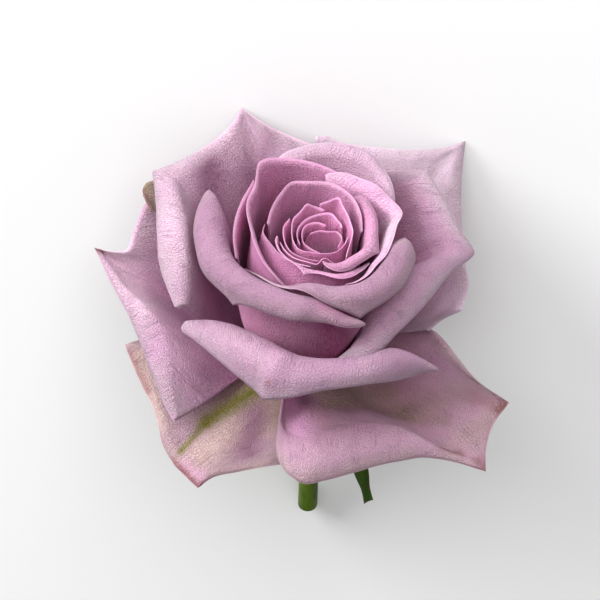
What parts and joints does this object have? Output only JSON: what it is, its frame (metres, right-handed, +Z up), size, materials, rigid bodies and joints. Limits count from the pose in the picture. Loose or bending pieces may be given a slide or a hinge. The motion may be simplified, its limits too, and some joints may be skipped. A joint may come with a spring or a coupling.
{
  "type": "cut rose bloom",
  "caption": "Cut hybrid tea rose bloom in mauve lavender, fully open with rolled outer petals, on a short green stem, lying on its back petals.",
  "frame": {"origin": "on the table, under the middle of the flower's bounding box", "axes": "+Z up from the table; the bloom faces -Y and the stem points to +Y, the flower's axis tilting up towards the bloom; +X is the viewer's right when the bloom is seen from the front"},
  "size_m": [0.1164, 0.1358, 0.0795],
  "materials": {
    "petals_heart": "matte",
    "petals_inner": "matte",
    "petals_guard": "matte",
    "petals_wing": "matte",
    "petals_skirt": "matte",
    "hip": "satin",
    "stem": "satin",
    "sepals": "satin"
  },
  "bodies": {
    "root": {"petal_heart": "petals_heart", "petal_curl_a": "petals_heart", "petal_curl_b": "petals_heart", "petal_curl_c": "petals_heart", "petal_curl_d": "petals_heart", "petal_frill_left": "petals_heart", "petal_frill_front": "petals_heart", "petal_frill_low": "petals_heart", "petal_ring_back": "petals_inner", "petal_ring_right": "petals_inner", "petal_ring_front": "petals_inner", "petal_bud_right": "petals_inner", "petal_bud_left": "petals_inner", "petal_bud_side": "petals_inner", "petal_shell_back": "petals_inner", "petal_collar_right": "petals_guard", "petal_collar_left": "petals_guard", "petal_guard_right": "petals_guard", "petal_wing_back_left": "petals_wing", "petal_withered": "petals_wing", "petal_guard_front": "petals_guard", "petal_wing_back_right": "petals_wing", "petal_wing_left": "petals_wing", "petal_skirt_right": "petals_skirt", "petal_skirt_left": "petals_skirt", "hip": "hip", "stem": "stem", "sepal_front_right": "sepals", "sepal_right": "sepals", "sepal_back": "sepals", "sepal_left": "sepals", "sepal_front_left": "sepals"}
  },
  "joints": []
}
